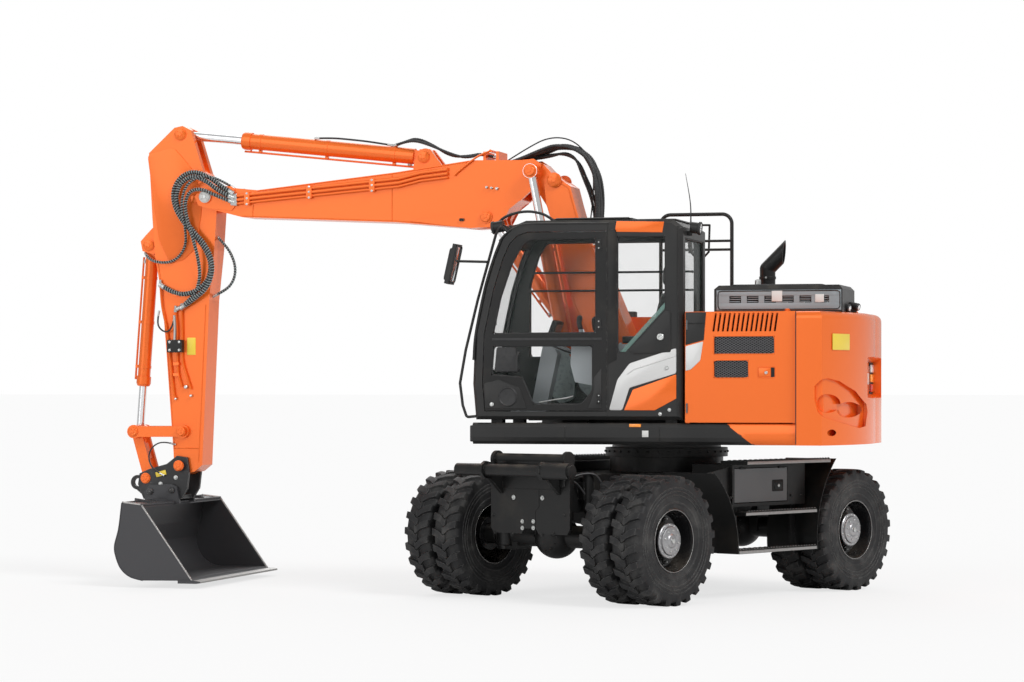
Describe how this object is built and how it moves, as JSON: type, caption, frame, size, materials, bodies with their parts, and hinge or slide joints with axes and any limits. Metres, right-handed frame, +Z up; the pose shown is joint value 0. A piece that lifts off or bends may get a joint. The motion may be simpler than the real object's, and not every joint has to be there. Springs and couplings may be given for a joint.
{
  "type": "wheeled excavator",
  "caption": "Wheeled excavator with twin tyres, a cab, a rear engine body, a two-piece boom, an arm and a wide bucket on a quick coupler.",
  "frame": {"origin": "centre of the footprint of the whole machine, on the ground", "axes": "+X ahead of the cab, along the boom; +Y to the operator's left; +Z up. The undercarriage stands turned 64 degrees to the left."},
  "size_m": [6.9788, 4.4201, 4.21],
  "materials": {
    "orange_paint": "gloss",
    "black_paint": "satin",
    "bucket_steel": "worn",
    "tyre": "matte",
    "rim_black": "satin",
    "chrome": "polished",
    "engine_grey": "satin",
    "seat_fabric": "woven",
    "grey_plastic": "moulded",
    "glass": "clear"
  },
  "bodies": {
    "chassis": {"chassis_frame": "black_paint", "slew_ring": "black_paint", "front_plate": "black_paint", "front_tube": "black_paint", "front_axle": "black_paint", "rear_axle": "black_paint", "drive_shaft": "black_paint", "toolboxes": "black_paint", "steps": "black_paint", "mudguards": "black_paint"},
    "upper": {"upper_frame": "black_paint", "side_skirts": "black_paint", "engine_bay": "orange_paint", "engine": "engine_grey", "radiator": "engine_grey", "exhaust_stack": "engine_grey", "counterweight": "orange_paint", "fuel_tank": "orange_paint", "front_locker": "orange_paint", "cab_shell": "black_paint", "cab_glass": "glass", "cab_seat": "seat_fabric", "cab_console": "grey_plastic", "handrails": "black_paint", "mirrors": "black_paint", "work_lamps": "grey_plastic"},
    "base_boom": {"base_boom": "orange_paint"},
    "front_boom": {"front_boom": "orange_paint", "boom_pipes": "orange_paint"},
    "arm": {"arm": "orange_paint"},
    "bucket": {"bucket": "bucket_steel", "quick_coupler": "black_paint"},
    "rocker": {"rocker": "orange_paint"},
    "tip_link": {"tip_link": "orange_paint"},
    "cab_door": {"cab_door": "black_paint", "door_glass": "glass"},
    "side_door": {"side_door": "orange_paint"},
    "engine_hood": {"engine_hood": "black_paint"},
    "lift_barrel": {"lift_barrel": "orange_paint"},
    "lift_rod": {"lift_rod": "chrome"},
    "fold_barrel": {"fold_barrel": "orange_paint"},
    "fold_rod": {"fold_rod": "chrome"},
    "stick_barrel": {"stick_barrel": "orange_paint"},
    "stick_rod": {"stick_rod": "chrome"},
    "tip_barrel": {"tip_barrel": "orange_paint"},
    "tip_rod": {"tip_rod": "chrome"},
    "knuckle_left": {"knuckle_left": "black_paint"},
    "toolbox_lid_left": {"toolbox_lid_left": "black_paint"},
    "knuckle_right": {"knuckle_right": "black_paint"},
    "toolbox_lid_right": {"toolbox_lid_right": "black_paint"},
    "wheel_front_left": {"tyres_front_left": "tyre", "rims_front_left": "rim_black"},
    "wheel_front_right": {"tyres_front_right": "tyre", "rims_front_right": "rim_black"},
    "wheel_rear_left": {"tyres_rear_left": "tyre", "rims_rear_left": "rim_black"},
    "wheel_rear_right": {"tyres_rear_right": "tyre", "rims_rear_right": "rim_black"}
  },
  "joints": [
    {"name": "slew", "type": "hinge", "parent": "chassis", "child": "upper", "pos_m": [-1.629, -0.18, 1.268], "axis": [0, 0, 1], "continuous": true},
    {"name": "boom_lift", "type": "hinge", "parent": "upper", "child": "base_boom", "pos_m": [-1.324, -0.29, 1.931], "axis": [0, -1, 0], "range_deg": [-48, 14]},
    {"name": "front_boom_fold", "type": "hinge", "parent": "base_boom", "child": "front_boom", "pos_m": [-0.429, -0.29, 3.719], "axis": [0, -1, 0], "range_deg": [-12, 50]},
    {"name": "arm_swing", "type": "hinge", "parent": "front_boom", "child": "arm", "pos_m": [2.686, -0.29, 3.548], "axis": [0, 1, 0], "range_deg": [-50, 45]},
    {"name": "bucket_curl", "type": "hinge", "parent": "arm", "child": "bucket", "pos_m": [2.941, -0.29, 1.075], "axis": [0, 1, 0], "range_deg": [-60, 75]},
    {"name": "lift_barrel_pivot", "type": "hinge", "parent": "upper", "child": "lift_barrel", "pos_m": [-0.854, -0.29, 1.6], "axis": [0, -1, 0], "range_deg": [-46.58, 13.8]},
    {"name": "lift_rod_slide", "type": "slide", "parent": "lift_barrel", "child": "lift_rod", "axis": [0.1967, 0, 0.9805], "range_m": [-0.4608, 0.1358]},
    {"name": "fold_barrel_pivot", "type": "hinge", "parent": "base_boom", "child": "fold_barrel", "pos_m": [-0.699, -0.29, 2.38], "axis": [0, -1, 0], "range_deg": [-1.32, 4.56]},
    {"name": "fold_rod_slide", "type": "slide", "parent": "fold_barrel", "child": "fold_rod", "axis": [0.5984, 0, 0.8012], "range_m": [-0.1181, 0.4855]},
    {"name": "stick_barrel_pivot", "type": "hinge", "parent": "front_boom", "child": "stick_barrel", "pos_m": [0.617, -0.29, 3.88], "axis": [0, -1, 0], "range_deg": [-5.98, 6.61]},
    {"name": "stick_rod_slide", "type": "slide", "parent": "stick_barrel", "child": "stick_rod", "axis": [0.9942, 0, 0.1077], "range_m": [-0.4709, 0.424]},
    {"name": "tip_barrel_pivot", "type": "hinge", "parent": "arm", "child": "tip_barrel", "pos_m": [3.274, -0.29, 3.113], "axis": [0, -1, 0], "range_deg": [-2.63, 2.17]},
    {"name": "tip_rod_slide", "type": "slide", "parent": "tip_barrel", "child": "tip_rod", "axis": [0.0745, 0, -0.9972], "range_m": [-0.3352, 0.4185]},
    {"name": "rocker_pivot", "type": "hinge", "parent": "arm", "child": "rocker", "pos_m": [2.922, -0.29, 1.389], "axis": [0, 1, 0], "range_deg": [-44.9, 56.05]},
    {"name": "tip_link_pivot", "type": "hinge", "parent": "rocker", "child": "tip_link", "pos_m": [3.403, -0.29, 1.387], "axis": [0, 1, 0], "range_deg": [-33.32, 26.72]},
    {"name": "steer_left", "type": "hinge", "parent": "chassis", "child": "knuckle_left", "pos_m": [-1.47477, 1.41368, 0.5375], "axis": [0, 0, 1], "range_deg": [-28, 28]},
    {"name": "steer_right", "type": "hinge", "parent": "chassis", "child": "knuckle_right", "pos_m": [-0.46812, 0.9227, 0.5375], "axis": [0, 0, 1], "range_deg": [-28.5, 28.5]},
    {"name": "wheel_front_left_spin", "type": "hinge", "parent": "knuckle_left", "child": "wheel_front_left", "pos_m": [-1.78036, 1.56272, 0.5375], "axis": [-0.8988, 0.4384, 0], "continuous": true},
    {"name": "wheel_front_right_spin", "type": "hinge", "parent": "knuckle_right", "child": "wheel_front_right", "pos_m": [-0.16253, 0.77366, 0.5375], "axis": [-0.8988, 0.4384, 0], "continuous": true},
    {"name": "wheel_rear_left_spin", "type": "hinge", "parent": "chassis", "child": "wheel_rear_left", "pos_m": [-2.92012, -0.77414, 0.5375], "axis": [-0.8988, 0.4384, 0], "continuous": true},
    {"name": "wheel_rear_right_spin", "type": "hinge", "parent": "chassis", "child": "wheel_rear_right", "pos_m": [-1.30229, -1.56321, 0.5375], "axis": [-0.8988, 0.4384, 0], "continuous": true},
    {"name": "cab_door_swing", "type": "hinge", "parent": "upper", "child": "cab_door", "pos_m": [-1.371, 1.04, 2.3], "axis": [0, 0, 1], "range_deg": [0, 160]},
    {"name": "side_door_swing", "type": "hinge", "parent": "upper", "child": "side_door", "pos_m": [-2.049, 1.04, 1.96], "axis": [0, 0, 1], "range_deg": [-110, 0]},
    {"name": "engine_hood_lift", "type": "hinge", "parent": "upper", "child": "engine_hood", "pos_m": [-2.234, -0.18, 2.4303], "axis": [0, 1, 0], "range_deg": [0, 60]},
    {"name": "toolbox_lid_left_swing", "type": "hinge", "parent": "chassis", "child": "toolbox_lid_left", "pos_m": [-2.41164, 0.72464, 0.96], "axis": [0, 0, -1], "range_deg": [0, 100]},
    {"name": "toolbox_lid_right_swing", "type": "hinge", "parent": "chassis", "child": "toolbox_lid_right", "pos_m": [-0.43429, -0.23977, 0.96], "axis": [0, 0, 1], "range_deg": [0, 100]}
  ],
  "couplings": [
    {"joint": "lift_barrel_pivot", "follows": "boom_lift", "ratio": 0.9641},
    {"joint": "lift_rod_slide", "follows": "boom_lift", "m_per_rad": 0.5476},
    {"joint": "fold_barrel_pivot", "follows": "front_boom_fold", "ratio": 0.0853},
    {"joint": "fold_rod_slide", "follows": "front_boom_fold", "m_per_rad": 0.5541},
    {"joint": "stick_barrel_pivot", "follows": "arm_swing", "ratio": -0.1262},
    {"joint": "stick_rod_slide", "follows": "arm_swing", "m_per_rad": 0.5373},
    {"joint": "tip_barrel_pivot", "follows": "bucket_curl", "ratio": -0.0311},
    {"joint": "tip_rod_slide", "follows": "bucket_curl", "m_per_rad": 0.3182},
    {"joint": "rocker_pivot", "follows": "bucket_curl", "ratio": 0.7434},
    {"joint": "tip_link_pivot", "follows": "bucket_curl", "ratio": -0.4403},
    {"joint": "steer_right", "follows": "steer_left", "ratio": 1}
  ]
}
